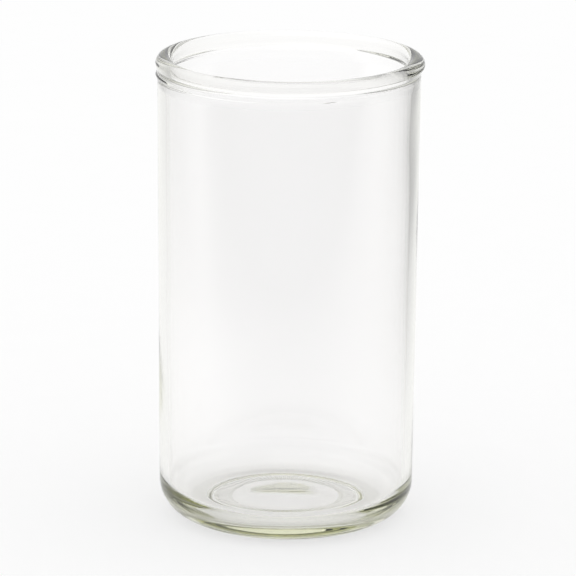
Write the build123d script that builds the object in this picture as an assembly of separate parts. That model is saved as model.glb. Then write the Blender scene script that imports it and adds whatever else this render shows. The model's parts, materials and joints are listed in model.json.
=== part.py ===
from build123d import *
from math import atan, cos, degrees, radians
import os

# Clear glass cylinder vase, made in one piece: a wall that widens very slightly to the top, a rounded rim
# bead with a fine ring below it, a broad rounded heel, a thick floor, and an underside hollowed inside the
# ring that it stands on. Millimetres. +Z is up, and the origin is the centre of the standing plane.

# Driving dimensions. The two radii are the outer wall's, carried up to the rim and down to the table.
height = 179.0
top_radius = 50.0
foot_radius = 48.5
wall_thickness = 3.6
floor_height = 7.0

# Rim bead: the edge was melted round, so it stands proud of the wall on both sides
bead_height = 6.0
bead_proud_outside = 1.0
bead_proud_inside = 1.9
mouth_land = 1.2
neck_length = 1.4

# How long the swell below the bead keeps the direction of its lower and its upper end
swell_pull_low = 0.5
swell_pull_high = 1.6

# Fine raised ring below the bead
ring_drop = 7.3
ring_width = 2.0
ring_proud = 0.35

# Heel and inside corner
heel_radius = 13.5
corner_radius = 9.0
floor_crown = 0.6

# Underside
standing_ring_width = 5.5
recess_depth = 1.2
recess_edge = 0.8
dome_radius = 19.0
dome_rise = 1.2

# Ring of small radial ribs in the recess, clear of the surface that the vase stands on
rib_count = 96
rib_length = 5.0
rib_circle_radius = 24.0
rib_round = 0.45
rib_depth = 0.35

# Worked out from the driving dimensions
wall_slope = (top_radius - foot_radius) / height
lean = degrees(atan(wall_slope))
wall_up = (wall_slope, 1)
wall_down = (-wall_slope, -1)
bead_radius = top_radius + bead_proud_outside
mouth_radius = top_radius - wall_thickness - bead_proud_inside
crest_radius = (bead_radius + mouth_radius) / 2
bead_middle = height - bead_height / 2
bead_bottom = height - bead_height
ring_middle = height - ring_drop
standing_outer = foot_radius + wall_slope * heel_radius - heel_radius / cos(radians(lean))
standing_inner = standing_outer - standing_ring_width
recess_radius = standing_inner - recess_edge
dome_top = recess_depth + dome_rise
rib_axis_height = recess_depth - rib_depth + rib_round


def outer_wall(level, proud=0.0):
    """Point on the outer wall at that level, or that far out from it."""
    return (foot_radius + wall_slope * level + proud, level)


def inner_wall(level):
    """Point on the inner wall at that level."""
    return outer_wall(level, -wall_thickness)


def underside():
    """From the axis out to the foot of the wall: dome, recess, standing ring and heel."""
    dome = TangentArc((0, dome_top), (dome_radius, recess_depth), tangent=(1, 0))
    recess = Line(dome @ 1, (recess_radius, recess_depth))
    slope = Line(recess @ 1, (standing_inner, 0))
    standing_ring = Line(slope @ 1, (standing_outer, 0))
    heel = JernArc(standing_ring @ 1, (1, 0), heel_radius, 90 - lean)
    return heel @ 1


def fine_ring(start):
    """Up the outer wall and over a low bump that leaves the wall and joins it again smoothly."""
    wall = Line(start, outer_wall(ring_middle - ring_width / 2))
    bump = Spline(
        wall @ 1,
        outer_wall(ring_middle, ring_proud),
        outer_wall(ring_middle + ring_width / 2),
        tangents=[wall_up, wall_up, wall_up],
    )
    return bump @ 1


def rim_bead(start):
    """Over the rim from the outer wall to the inner wall, with a short straight land in the mouth."""
    neck = Line(start, outer_wall(bead_bottom))
    Spline(
        neck @ 1,
        (bead_radius, bead_middle),
        tangents=[wall_up, (0, 1)],
        tangent_scalars=[swell_pull_low, swell_pull_high],
    )
    bead_half_width = (bead_radius - mouth_radius) / 2
    EllipticalCenterArc((crest_radius, bead_middle), bead_half_width, bead_height / 2, arc_size=180)
    land = Line((mouth_radius, bead_middle), (mouth_radius, bead_middle - mouth_land))
    inside = Spline(land @ 1, inner_wall(bead_bottom - neck_length), tangents=[(0, -1), wall_down])
    return inside @ 1


def inside_face(start):
    """Down the inner wall, round the corner and over the slightly crowned floor to the axis."""
    corner_level = floor_height + corner_radius * (1 - wall_slope * cos(radians(lean)))
    wall = Line(start, inner_wall(corner_level))
    corner = JernArc(wall @ 1, wall_down, corner_radius, lean - 90)
    floor = Spline(corner @ 1, (0, floor_height + floor_crown), tangents=[(-1, 0), (-1, 0)])
    return floor @ 1


def glass_body():
    """The whole outline, turned about the Z axis."""
    with BuildPart() as body:
        with BuildSketch(Plane.XZ):
            with BuildLine():
                floor_middle = inside_face(rim_bead(fine_ring(underside())))
                Line(floor_middle, (0, dome_top))
            make_face()
        revolve(axis=Axis.Z)
    return body.part


def rib_ring():
    """Round-backed ribs lying along the radius, standing a little way out of the recess."""
    with BuildPart() as ribs:
        with Locations((0, 0, rib_axis_height)):
            with PolarLocations(rib_circle_radius, rib_count):
                Cylinder(radius=rib_round, height=rib_length, rotation=(0, 90, 0))
    return ribs.part


vase_glass = glass_body() + rib_ring()
os.makedirs("parts", exist_ok=True)
export_step(vase_glass, "parts/vase_glass.step")
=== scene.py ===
import json
import math

import bpy
import numpy as np
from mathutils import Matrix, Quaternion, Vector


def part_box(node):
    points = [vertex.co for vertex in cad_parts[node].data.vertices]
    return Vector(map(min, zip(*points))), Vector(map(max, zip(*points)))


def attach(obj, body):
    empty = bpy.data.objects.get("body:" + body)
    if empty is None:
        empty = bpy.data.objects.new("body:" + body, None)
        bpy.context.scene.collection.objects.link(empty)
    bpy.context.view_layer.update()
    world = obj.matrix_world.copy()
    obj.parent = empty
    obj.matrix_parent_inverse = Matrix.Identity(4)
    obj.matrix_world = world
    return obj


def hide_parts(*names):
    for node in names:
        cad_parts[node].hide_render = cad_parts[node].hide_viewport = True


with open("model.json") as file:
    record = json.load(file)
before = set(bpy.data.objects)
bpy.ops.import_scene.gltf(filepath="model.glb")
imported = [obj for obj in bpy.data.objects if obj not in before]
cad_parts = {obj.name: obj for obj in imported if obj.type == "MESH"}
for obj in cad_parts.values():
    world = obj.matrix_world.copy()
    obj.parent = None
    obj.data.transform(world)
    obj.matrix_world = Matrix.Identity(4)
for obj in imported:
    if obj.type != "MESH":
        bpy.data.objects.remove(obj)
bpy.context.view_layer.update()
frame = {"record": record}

# ---------------------------------------------------------------------------------------------
# Sizes. Metres, in the CAD frame: +Z up, the origin is the middle of the standing plane.
# ---------------------------------------------------------------------------------------------

MM = 0.001
vase_low, vase_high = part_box("vase_glass")
mounts = {mount["name"]: mount for mount in frame["record"]["mounts"]}

# Driving dimensions, the first four of them from the frame
height = vase_high.z
bead_radius = vase_high.x
mouth_radius = mounts["mouth"]["dims"]["r_mm"] * MM
mouth_land = mounts["mouth"]["dims"]["length_mm"] * MM
top_radius = bead_radius - 1.0 * MM
foot_radius = top_radius - 1.5 * MM
wall_thickness = 3.6 * MM
floor_height = 7.0 * MM
floor_crown = 0.6 * MM
bead_height = 6.0 * MM
neck_length = 1.4 * MM
ring_drop = 7.3 * MM
ring_width = 2.0 * MM
ring_proud = 0.35 * MM
heel_radius = 13.5 * MM
corner_radius = 9.0 * MM
standing_ring_width = 5.5 * MM
recess_depth = 1.2 * MM
recess_edge = 0.8 * MM
dome_radius = 19.0 * MM
dome_rise = 1.2 * MM
rib_count = 96
rib_length = 5.0 * MM
rib_circle_radius = 24.0 * MM
rib_depth = 0.35 * MM

# Worked out from them
wall_slope = (top_radius - foot_radius) / height
lean = math.atan(wall_slope)
lean_degrees = math.degrees(lean)
crest_radius = (bead_radius + mouth_radius) / 2
bead_middle = height - bead_height / 2
bead_bottom = height - bead_height
ring_middle = height - ring_drop
standing_outer = foot_radius + wall_slope * heel_radius - heel_radius / math.cos(lean)
standing_inner = standing_outer - standing_ring_width
recess_radius = standing_inner - recess_edge
dome_top = recess_depth + dome_rise
rib_inner = rib_circle_radius - rib_length / 2
rib_outer = rib_circle_radius + rib_length / 2
corner_level = floor_height + corner_radius
floor_edge = foot_radius - wall_thickness + wall_slope * corner_level - corner_radius / math.cos(lean)
floor_top = floor_height + floor_crown

# Unevenness of real glass, which the CAD outline leaves out
outer_wave = 0.03 * MM
inner_wave = 0.05 * MM
rim_out_of_level = 0.10 * MM
rim_out_of_round = 0.08 * MM
lip_offset = 0.4 * MM
ring_fade = 0.85
ring_flicker = 0.10
ring_flicker_count = 5
outer_ripple = 0.035 * MM
inner_ripple = 0.07 * MM
floor_wave = 0.08 * MM

# Where that unevenness fades out or in: levels on the wall, the rim, the heel and the floor, and radii
wall_wave_starts = (8 * MM, 25 * MM)
wall_wave_stops = (bead_bottom - 12 * MM, bead_bottom)
rim_rise_starts = (height - 25 * MM, height - 4 * MM)
lip_starts = (bead_bottom - 1 * MM, bead_middle)
ripple_stops = (9 * MM, 22 * MM)
ripple_starts_outward = (standing_outer, standing_outer + 4 * MM)
floor_wave_stops = (floor_top, floor_top + 2 * MM)
floor_wave_starts_outward = (2 * MM, 12 * MM)

# Seed of the random waves, and the slack that keeps rounding errors out of a comparison
seed = 11
rounding = 0.01 * MM

# A rib in five steps round the vase, as shares of the rib spacing and of its depth. The rest is the gap.
rib_phases = np.array([0.0, 0.14, 0.285, 0.43, 0.57])
rib_heights = np.array([0.0, 0.75, 1.0, 0.75, 0.0])

# Camera: the photo's viewpoint, tilt below level and roll in degrees, lens, and how far from its place
# the shift of the lens is used
camera_place = (-8.9 * MM, -1601.6 * MM, 514.6 * MM)
camera_tilt = 11.36
camera_roll = 0.43
camera_sensor = 36
camera_lens = 270.7
camera_shift = {"shift_x": 0.038, "shift_y": -0.467}
shift_reach = 50 * MM


def outer_wall(level, proud=0.0):
    """Outline point on the outer wall at that level, or that far out from it."""
    return (foot_radius + wall_slope * level + proud, level)


def inner_wall(level):
    """Outline point on the inner wall at that level."""
    return outer_wall(level, -wall_thickness)


# ---------------------------------------------------------------------------------------------
# The glass outline as points (radius, level): from the axis under the floor, out, up, over the rim
# and back to the axis. Each stretch leaves out its last point, which starts the next stretch.
# ---------------------------------------------------------------------------------------------

def smooth_step(value, low, high):
    t = np.clip((value - low) / (high - low), 0, 1)
    return t * t * (3 - 2 * t)


def line(start, end, steps):
    t = np.arange(steps)[:, None] / steps
    return np.array(start) * (1 - t) + np.array(end) * t


def arc(centre, radii, start, sweep, steps):
    """Part of an ellipse, from that angle and over that sweep, in degrees."""
    angle = np.radians(start + sweep * np.arange(steps) / steps)
    return np.array(centre) + np.stack([radii[0] * np.cos(angle), radii[1] * np.sin(angle)], axis=1)


def eased(start, end, steps):
    """S-curve that is upright at both ends."""
    t = np.arange(steps) / steps
    radius = start[0] + (end[0] - start[0]) * smooth_step(t, 0, 1)
    return np.stack([radius, start[1] + (end[1] - start[1]) * t], axis=1)


def bowed(start, end, steps):
    """S-curve that is level at both ends."""
    t = np.arange(steps) / steps
    level = start[1] + (end[1] - start[1]) * smooth_step(t, 0, 1)
    return np.stack([start[0] + (end[0] - start[0]) * t, level], axis=1)


def underside_outline():
    heel_radii = (heel_radius, heel_radius)
    return np.concatenate([
        bowed((0, dome_top), (dome_radius, recess_depth), steps=8),
        line((dome_radius, recess_depth), (rib_inner, recess_depth), steps=2),
        line((rib_inner, recess_depth), (rib_outer, recess_depth), steps=6),
        line((rib_outer, recess_depth), (recess_radius, recess_depth), steps=2),
        bowed((recess_radius, recess_depth), (standing_inner, 0), steps=4),
        line((standing_inner, 0), (standing_outer, 0), steps=4),
        arc((standing_outer, heel_radius), heel_radii, -90, 90 - lean_degrees, steps=22),
    ])


def outside_outline():
    ring_low = outer_wall(ring_middle - ring_width / 2)
    ring_top = outer_wall(ring_middle, ring_proud)
    ring_high = outer_wall(ring_middle + ring_width / 2)
    neck = outer_wall(bead_bottom)
    return np.concatenate([
        line(outer_wall(heel_radius * (1 - math.sin(lean))), ring_low, steps=40),
        eased(ring_low, ring_top, steps=3),
        eased(ring_top, ring_high, steps=3),
        line(ring_high, neck, steps=1),
        eased(neck, (bead_radius, bead_middle), steps=6),
    ])


def rim_outline():
    radii = ((bead_radius - mouth_radius) / 2, bead_height / 2)
    land_bottom = (mouth_radius, bead_middle - mouth_land)
    return np.concatenate([
        arc((crest_radius, bead_middle), radii, 0, 180, steps=20),
        line((mouth_radius, bead_middle), land_bottom, steps=2),
        eased(land_bottom, inner_wall(bead_bottom - neck_length), steps=6),
    ])


def inside_outline():
    corner_radii = (corner_radius, corner_radius)
    wall_end = inner_wall(corner_level - corner_radius * math.sin(lean))
    return np.concatenate([
        line(inner_wall(bead_bottom - neck_length), wall_end, steps=40),
        arc((floor_edge, corner_level), corner_radii, -lean_degrees, lean_degrees - 90, steps=18),
        bowed((floor_edge, floor_height), (0, floor_top), steps=12),
        [(0, floor_top)],
    ])


# ---------------------------------------------------------------------------------------------
# The glass mesh: one ring of points to each outline point, moved a little off the true shape.
# In these functions angle, radius and level are grids, with a row to each ring.
# ---------------------------------------------------------------------------------------------

def waves(rng, angle, level, size, most_turns, length, count):
    """Smooth unevenness round the vase: a sum of waves that run in random directions."""
    total = np.zeros(np.broadcast(angle, level).shape)
    for _ in range(count):
        turns = rng.integers(1, most_turns + 1)
        climb = rng.uniform(-1, 1) * math.tau / length
        total = total + np.cos(turns * angle + climb * level + rng.uniform(0, math.tau))
    return size * total / math.sqrt(count)


def wall_unevenness(rng, angle, level, is_outer):
    """Long waves in the radius, deeper on the inside, which no mould touched."""
    outside = waves(rng, angle, level, size=outer_wave, most_turns=7, length=60 * MM, count=14)
    inside = waves(rng, angle, level, size=inner_wave, most_turns=6, length=45 * MM, count=14)
    above_heel = smooth_step(level, *wall_wave_starts)
    below_bead = 1 - smooth_step(level, *wall_wave_stops)
    return above_heel * below_bead * np.where(is_outer, outside, inside)


def rim_unevenness(rng, angle, level):
    """Changes in level and in radius: the melted rim is a little out of level and out of round, and its
    lip is set to one side."""
    on_rim = smooth_step(level, *rim_rise_starts)
    on_lip = smooth_step(level, *lip_starts)
    rise = waves(rng, angle, 0, size=rim_out_of_level, most_turns=4, length=1, count=6)
    swell = waves(rng, angle, 0, size=rim_out_of_round, most_turns=4, length=1, count=6)
    return on_rim * rise, on_rim * swell + on_lip * lip_offset * np.cos(angle)


def ring_unevenness(angle, level, is_outer):
    """The fine ring stands out most on the left, at -X, and nearly fades away on the right."""
    on_ring = is_outer * (1 - smooth_step(np.abs(level - ring_middle), 0, ring_width / 2))
    flicker = ring_flicker * np.cos(ring_flicker_count * angle)
    return on_ring * ring_proud * (-ring_fade * np.cos(angle) + flicker)


def chill_ripples(rng, angle, radius, level, is_outer):
    """Close waves in the radius, low on the heel and round the inside corner, where the glass set last."""
    low_down = 1 - smooth_step(level, *ripple_stops)
    off_floor = smooth_step(radius, *ripple_starts_outward)
    ripples = waves(rng, angle, level, size=1, most_turns=4, length=4 * MM, count=6)
    return low_down * off_floor * ripples * np.where(is_outer, outer_ripple, inner_ripple)


def floor_unevenness(rng, angle, radius, level, is_outer):
    """Slow waves in the level of the inside floor, fading to none at the axis."""
    on_floor = ~is_outer * (1 - smooth_step(level, *floor_wave_stops))
    off_axis = smooth_step(radius, *floor_wave_starts_outward)
    rise = waves(rng, angle, radius, size=floor_wave, most_turns=5, length=30 * MM, count=8)
    return on_floor * off_axis * rise


def glass_grid():
    """Radius and level of every point of the mesh, and the angles that all rings share."""
    rng = np.random.default_rng(seed)
    under, outside, rim, inside = underside_outline(), outside_outline(), rim_outline(), inside_outline()
    outline = np.concatenate([under, outside, rim, inside])
    outer_count = len(under) + len(outside) + len(rim) // 2
    is_outer = (np.arange(len(outline)) < outer_count)[:, None]
    between_rib_ends = np.abs(under[:, 0] - rib_circle_radius) < rib_length / 2 - rounding
    in_rib_band = np.zeros((len(outline), 1))
    in_rib_band[: len(under), 0] = between_rib_ends

    rib_starts = np.arange(rib_count)[:, None]
    angle = ((rib_starts + rib_phases) * math.tau / rib_count).reshape(1, -1)
    radius = outline[:, :1] + 0 * angle
    level = outline[:, 1:] + 0 * angle

    wall_swell = wall_unevenness(rng, angle, level, is_outer)
    rim_rise, rim_swell = rim_unevenness(rng, angle, level)
    ring_swell = ring_unevenness(angle, level, is_outer)
    ripple_swell = chill_ripples(rng, angle, radius, level, is_outer)
    floor_rise = floor_unevenness(rng, angle, radius, level, is_outer)
    rib_drop = in_rib_band * rib_depth * np.tile(rib_heights, rib_count)
    radius = radius + wall_swell + rim_swell + ring_swell + ripple_swell
    level = level + rim_rise + floor_rise - rib_drop
    return radius, level, angle


def grid_mesh(name, radius, level, angle):
    """Closed mesh from the rings, with UVs that run round and along the outline. The first and the last
    ring each shrink to one point on the axis."""
    rings, around = radius.shape
    points = np.stack([radius * np.cos(angle), radius * np.sin(angle), level], axis=2)
    vertices = points[1:-1].reshape(-1, 3).tolist()
    bottom_pole = len(vertices)
    top_pole = bottom_pole + 1
    vertices.append((0, 0, float(level[0].mean())))
    vertices.append((0, 0, float(level[-1].mean())))

    step_length = np.hypot(np.diff(radius.mean(1)), np.diff(level.mean(1)))
    along = np.concatenate([[0], np.cumsum(step_length)])
    along /= along[-1]
    turn = np.append(angle.ravel(), math.tau) / math.tau

    def vertex(ring, step):
        return ring * around + step % around

    faces, corners = [], []
    for step in range(around):
        left, right = turn[step], turn[step + 1]
        middle = (left + right) / 2
        faces.append((bottom_pole, vertex(0, step + 1), vertex(0, step)))
        corners += [(middle, along[0]), (right, along[1]), (left, along[1])]
        for ring in range(rings - 3):
            faces.append((
                vertex(ring, step), vertex(ring, step + 1),
                vertex(ring + 1, step + 1), vertex(ring + 1, step),
            ))
            low, high = along[ring + 1], along[ring + 2]
            corners += [(left, low), (right, low), (right, high), (left, high)]
        faces.append((top_pole, vertex(rings - 3, step), vertex(rings - 3, step + 1)))
        corners += [(middle, along[-1]), (left, along[-2]), (right, along[-2])]
    mesh = bpy.data.meshes.new(name)
    mesh.from_pydata(vertices, [], faces)
    layer = mesh.uv_layers.new(name="UVMap")
    layer.uv.foreach_set("vector", np.array(corners, np.float32).ravel())
    mesh.shade_smooth()
    mesh.validate()
    return mesh


def add_object(name, mesh, material):
    piece = bpy.data.objects.new(name, mesh)
    bpy.context.scene.collection.objects.link(piece)
    mesh.materials.append(material)
    return piece


# ---------------------------------------------------------------------------------------------
# Shader helpers. A value may be a number, a colour or another node's output.
# ---------------------------------------------------------------------------------------------

def put(tree, socket, value):
    if isinstance(value, bpy.types.NodeSocket):
        tree.links.new(value, socket)
    else:
        socket.default_value = value


def add_node(tree, kind, **values):
    """New node, with each value at the input of that name. An underscore stands for a space."""
    node = tree.nodes.new(kind)
    for name, value in values.items():
        put(tree, node.inputs[name.replace("_", " ")], value)
    return node


def maths(tree, operation, first, second):
    node = tree.nodes.new("ShaderNodeMath")
    node.operation = operation
    put(tree, node.inputs[0], first)
    put(tree, node.inputs[1], second)
    return node.outputs[0]


def share(tree, value, low, high):
    """0 at low, 1 at high, smooth between them. High may be the smaller of the two."""
    node = add_node(tree, "ShaderNodeMapRange", Value=value, From_Min=low, From_Max=high)
    node.interpolation_type = "SMOOTHSTEP"
    return node.outputs["Result"]


def mix(tree, factor, first, second):
    return add_node(tree, "ShaderNodeMix", Factor=factor, A=first, B=second).outputs["Result"]


def noise(tree, place, scale, detail):
    return add_node(tree, "ShaderNodeTexNoise", Vector=place, Scale=scale, Detail=detail).outputs["Fac"]


def grey(tree, level):
    return add_node(tree, "ShaderNodeCombineColor", Red=level, Green=level, Blue=level).outputs["Color"]


def axes(tree, vector):
    """The vector's three parts, by the names X, Y and Z."""
    return add_node(tree, "ShaderNodeSeparateXYZ", Vector=vector).outputs


def new_material(name):
    material = bpy.data.materials.new(name)
    material.use_nodes = True
    material.node_tree.nodes.clear()
    return material, material.node_tree


# ---------------------------------------------------------------------------------------------
# Clear glass: it takes a little light by depth, and is scuffed where it stands on the table
# ---------------------------------------------------------------------------------------------

GLASS_COLOUR = (0.992, 0.988, 1.0, 1)
GLASS_DEPTH_COLOUR = (0.79, 0.80, 0.58, 1)
GLASS_DEPTH_DENSITY = 16.0
GLASS_IOR = 1.51
GLASS_BOUNCES = 32
SCUFF_TOP = 0.35 * MM
SCUFF_ROUGHNESS = 0.6
FILM_ROUGHNESS = 0.012
FILM_PATCHES = (0.55, 0.8)
SKIN_DEPTH = 0.012 * MM


def glass_roughness(tree, place):
    """Scratches on the standing ring, and patches of a faint film left by washing everywhere."""
    scuffed = share(tree, axes(tree, place)["Z"], SCUFF_TOP, 0)
    scratches = noise(tree, place, scale=1800.0, detail=4.0)
    worn = maths(tree, "MULTIPLY", scuffed, maths(tree, "MULTIPLY", scratches, SCUFF_ROUGHNESS))
    patches = share(tree, noise(tree, place, scale=35.0, detail=3.0), *FILM_PATCHES)
    return maths(tree, "ADD", worn, maths(tree, "MULTIPLY", patches, FILM_ROUGHNESS))


def glass_material():
    material, tree = new_material("clear_glass")
    place = tree.nodes.new("ShaderNodeTexCoord").outputs["Object"]
    skin = noise(tree, place, scale=160.0, detail=2.0)
    bump = add_node(tree, "ShaderNodeBump", Strength=0.5, Distance=SKIN_DEPTH, Height=skin)
    surface = add_node(
        tree, "ShaderNodeBsdfPrincipled",
        Base_Color=GLASS_COLOUR,
        Roughness=glass_roughness(tree, place),
        IOR=GLASS_IOR,
        Transmission_Weight=1.0,
        Normal=bump.outputs["Normal"],
    )
    depth = add_node(
        tree, "ShaderNodeVolumeAbsorption",
        Color=GLASS_DEPTH_COLOUR,
        Density=GLASS_DEPTH_DENSITY,
    )
    add_node(
        tree, "ShaderNodeOutputMaterial",
        Surface=surface.outputs["BSDF"],
        Volume=depth.outputs["Volume"],
    )
    return material


# ---------------------------------------------------------------------------------------------
# Stage: floor, world, camera. A white backdrop and an evenly lit table. Only the glass sees dimmer
# surroundings to its sides, behind the camera and on the table near it; on the table that is painted
# shade. They turn with the camera, so that the edges of the glass show from every side.
# ---------------------------------------------------------------------------------------------

# Brightness of the backdrop, and of the sky that lights the table until the two look the same
BACKDROP = 0.99
FLOOR_COLOUR = 0.93
SKY = BACKDROP / FLOOR_COLOUR

# The table gives this share of its brightness as its own soft glow, a painted light that lightens the
# vase's shadow on it, and all of it far away
FLOOR_GLOW = 0.6
FLOOR_RADIUS = 6.0
FLOOR_SIDES = 96
FLOOR_GAP = 0.1 * MM
FLOOR_MOTTLE = 0.01

# Brightness as seen in the glass: of the walls and ceiling of the studio, of the table, where it is painted
# shade and, straight ahead, a little painted light, and how much of it is left after a mirror reflection,
# which outlines the walls of the vase
AHEAD = 1.06
LEFT = 0.62
RIGHT = 0.42
BEHIND = 0.6
CEILING = 1.3
CEILING_RIGHT = 0.5
FLOOR_AHEAD = 1.07
FLOOR_LEFT = 0.93
FLOOR_RIGHT = 0.6
FLOOR_NEAR = 0.22
MIRRORED = 0.92

# Where each brightness gives way to the next, from and to. The studio's are shares of a direction of
# length 1, to the right, ahead or up. The table's sides are widths over depths, as the camera sees them.
# Its near part is in metres beyond the vase, so less than 0, and the last two are metres from the vase.
TO_RIGHT = (0.1, 0.8)
TO_LEFT = (-0.1, -0.8)
TO_BEHIND = (0.1, -0.5)
TO_CEILING = (0.45, 0.8)
TO_CEILING_RIGHT = (0.0, 0.5)
TO_FLOOR_RIGHT = (0.05, 0.20)
TO_FLOOR_LEFT = (-0.06, -0.25)
TO_FLOOR_NEAR = (-0.06, -0.26)
TO_FLOOR_FAR = (0.7, 2.5)
TO_FULL_GLOW = (0.25, 0.9)


def seen_in_glass(tree, path, plain, studio):
    """Studio brightness for a ray that the glass has bent or mirrored and nothing else has scattered,
    and plain brightness for any other ray."""
    mirrored = maths(tree, "GREATER_THAN", path["Glossy Depth"], 0.5)
    studio = maths(tree, "MULTIPLY", studio, mix(tree, mirrored, 1.0, MIRRORED))
    by_glass = maths(tree, "MAXIMUM", path["Is Glossy Ray"], path["Is Transmission Ray"])
    unscattered = maths(tree, "LESS_THAN", path["Diffuse Depth"], 0.5)
    return mix(tree, maths(tree, "MULTIPLY", by_glass, unscattered), plain, studio)


def studio_walls(tree, across, ahead):
    """Brightness in the direction that goes so far to the right and so far ahead, as the camera sees it."""
    level = mix(tree, share(tree, across, *TO_RIGHT), AHEAD, RIGHT)
    level = mix(tree, share(tree, across, *TO_LEFT), level, LEFT)
    return mix(tree, share(tree, ahead, *TO_BEHIND), level, BEHIND)


def painted_table_shade(tree, seen, ahead):
    """Painted shade on the table round the vase, which only the glass sees: dimmer to both sides of the
    vase and in front of it.
    """
    aside = maths(tree, "DIVIDE", seen["X"], seen["Z"])
    level = mix(tree, share(tree, aside, *TO_FLOOR_RIGHT), FLOOR_AHEAD, FLOOR_RIGHT)
    level = mix(tree, share(tree, aside, *TO_FLOOR_LEFT), level, FLOOR_LEFT)
    return mix(tree, share(tree, ahead, *TO_FLOOR_NEAR), level, FLOOR_NEAR)


def floor_brightness(tree, place, distance):
    """Brightness of the table, with painted shade on it that only the glass sees. Far from the vase it
    takes that of the studio wall behind it, so that no edge shows between them."""
    turned = add_node(tree, "ShaderNodeVectorTransform", Vector=place["Object"])
    turned.vector_type = "VECTOR"
    turned.convert_from = "OBJECT"
    turned.convert_to = "CAMERA"
    offset = axes(tree, turned.outputs["Vector"])
    across = maths(tree, "DIVIDE", offset["X"], distance)
    ahead = maths(tree, "DIVIDE", offset["Z"], distance)
    near = painted_table_shade(tree, axes(tree, place["Camera"]), offset["Z"])
    level = mix(tree, share(tree, distance, *TO_FLOOR_FAR), near, studio_walls(tree, across, ahead))
    level = seen_in_glass(tree, tree.nodes.new("ShaderNodeLightPath").outputs, 1.0, level)

    # Faint mottle, as on matt card
    mottle = maths(tree, "MULTIPLY", noise(tree, place["Object"], scale=60.0, detail=4.0), FLOOR_MOTTLE)
    return maths(tree, "MULTIPLY", level, maths(tree, "ADD", mottle, 1 - FLOOR_MOTTLE / 2))


def floor_material():
    material, tree = new_material("pale_floor")
    place = tree.nodes.new("ShaderNodeTexCoord").outputs
    length = tree.nodes.new("ShaderNodeVectorMath")
    length.operation = "LENGTH"
    put(tree, length.inputs[0], place["Object"])
    distance = length.outputs["Value"]
    level = floor_brightness(tree, place, distance)
    # The level holds the painted shade, on the table's colour and on its glow alike
    lit = grey(tree, maths(tree, "MULTIPLY", level, FLOOR_COLOUR))
    glowing = grey(tree, maths(tree, "MULTIPLY", level, BACKDROP))
    diffuse = add_node(tree, "ShaderNodeBsdfDiffuse", Color=lit)
    glow = add_node(tree, "ShaderNodeEmission", Color=glowing)
    both = tree.nodes.new("ShaderNodeMixShader")
    # Painted glow: near the vase it lightens the shadow on the table, far away the table is all glow
    put(tree, both.inputs[0], mix(tree, share(tree, distance, *TO_FULL_GLOW), FLOOR_GLOW, 1.0))
    put(tree, both.inputs[1], diffuse.outputs["BSDF"])
    put(tree, both.inputs[2], glow.outputs["Emission"])
    add_node(tree, "ShaderNodeOutputMaterial", Surface=both.outputs["Shader"])
    material.cycles.emission_sampling = "NONE"
    return material


def make_floor():
    mesh = bpy.data.meshes.new("floor")
    angles = np.arange(FLOOR_SIDES) * math.tau / FLOOR_SIDES
    corners = [(FLOOR_RADIUS * math.cos(a), FLOOR_RADIUS * math.sin(a), 0) for a in angles]
    mesh.from_pydata(corners, [], [tuple(range(FLOOR_SIDES))])
    floor = add_object("floor", mesh, floor_material())
    floor.location.z = vase_low.z - FLOOR_GAP


def make_world():
    world = bpy.data.worlds.new("studio")
    bpy.context.scene.world = world
    world.use_nodes = True
    tree = world.node_tree
    tree.nodes.clear()
    place = tree.nodes.new("ShaderNodeTexCoord").outputs
    seen = axes(tree, place["Camera"])
    upright = axes(tree, place["Generated"])["Z"]
    ceiling = mix(tree, share(tree, seen["X"], *TO_CEILING_RIGHT), CEILING, CEILING_RIGHT)
    studio = studio_walls(tree, seen["X"], seen["Z"])
    studio = mix(tree, share(tree, upright, *TO_CEILING), studio, ceiling)
    path = tree.nodes.new("ShaderNodeLightPath").outputs
    level = seen_in_glass(tree, path, SKY, studio)
    level = mix(tree, path["Is Camera Ray"], level, BACKDROP)
    background = add_node(tree, "ShaderNodeBackground", Color=grey(tree, level))
    add_node(tree, "ShaderNodeOutputWorld", Surface=background.outputs["Background"])


def hold_shift(camera, here, channel, amount):
    """Shift the lens only while the camera is here. Further off than the reach, it points straight on."""
    curve = camera.data.driver_add(channel)
    curve.driver.type = "SUM"
    moved = curve.driver.variables.new()
    moved.type = "LOC_DIFF"
    moved.targets[0].id = camera
    moved.targets[1].id = here
    curve.modifiers.remove(curve.modifiers[0])
    for distance, shift in ((0, amount), (shift_reach, 0)):
        curve.keyframe_points.insert(distance, shift).interpolation = "LINEAR"
    curve.extrapolation = "CONSTANT"


def make_camera():
    """Camera with its lens shifted down, so that upright lines stay nearly parallel."""
    camera = bpy.data.objects.new("camera", bpy.data.cameras.new("camera"))
    here = bpy.data.objects.new("main_viewpoint", None)
    for thing in (camera, here):
        bpy.context.scene.collection.objects.link(thing)
        thing.location = camera_place
    camera.rotation_mode = "QUATERNION"
    tilt = Quaternion((1, 0, 0), math.radians(90 - camera_tilt))
    roll = Quaternion((0, 0, 1), math.radians(camera_roll))
    camera.rotation_quaternion = tilt @ roll
    camera.data.sensor_width = camera_sensor
    camera.data.lens = camera_lens
    camera.data.clip_start = 10 * MM
    for channel, amount in camera_shift.items():
        hold_shift(camera, here, channel, amount)
    bpy.context.scene.camera = camera


# ---------------------------------------------------------------------------------------------
# Build
# ---------------------------------------------------------------------------------------------

vase = add_object("glass_vase", grid_mesh("glass_vase", *glass_grid()), glass_material())
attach(vase, "root")
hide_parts("vase_glass")

make_floor()
make_world()
make_camera()
cycles = bpy.context.scene.cycles
cycles.max_bounces = GLASS_BOUNCES
cycles.transmission_bounces = GLASS_BOUNCES
cycles.glossy_bounces = GLASS_BOUNCES // 2
bpy.context.scene.view_settings.view_transform = "Standard"
